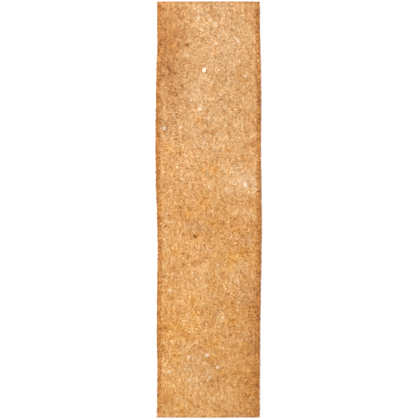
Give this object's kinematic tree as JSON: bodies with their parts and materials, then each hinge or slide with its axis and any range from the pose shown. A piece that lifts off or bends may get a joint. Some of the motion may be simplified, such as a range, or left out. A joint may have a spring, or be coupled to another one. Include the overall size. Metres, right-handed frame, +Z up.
{
  "type": "wired edge glitter ribbon",
  "caption": "Straight strip of glitter ribbon, cut square at both ends, with a soft wire overlocked into each long edge.",
  "frame": {"origin": "centre of the ribbon's outline, on the surface that it lies on", "axes": "+X across the ribbon to the right edge, +Y along it to the head end, +Z up out of the glittered face"},
  "size_m": [0.04, 0.1606, 0.001],
  "materials": {
    "cloth": "plain woven polyester, satin",
    "adhesive": "clear binder, glossy",
    "glitter": "packed fine copper-gold flakes, sparkling",
    "pearl_flake": "pearly film, glossy",
    "copper_flake": "dark copper film, glossy",
    "wire": "annealed steel, copper lacquer",
    "needle_thread": "twisted thread",
    "looper_thread": "twisted thread, soft sheen"
  },
  "bodies": {
    "ribbon": {"base_cloth": "cloth", "adhesive_film": "adhesive", "glitter_layer": "glitter", "large_flakes": "pearl_flake", "copper_flakes": "copper_flake", "left_needle_thread": "needle_thread", "left_upper_looper_thread": "looper_thread", "left_lower_looper_thread": "looper_thread", "right_needle_thread": "needle_thread", "right_upper_looper_thread": "looper_thread", "right_lower_looper_thread": "looper_thread"},
    "left_wire": {"left_edge_wire": "wire"},
    "right_wire": {"right_edge_wire": "wire"}
  },
  "joints": [
    {"name": "left_wire_slide", "type": "slide", "parent": "ribbon", "child": "left_wire", "axis": [0, 1, 0], "range_m": [-0.1505, 0.1505]},
    {"name": "right_wire_slide", "type": "slide", "parent": "ribbon", "child": "right_wire", "axis": [0, 1, 0], "range_m": [-0.1505, 0.1505]}
  ]
}
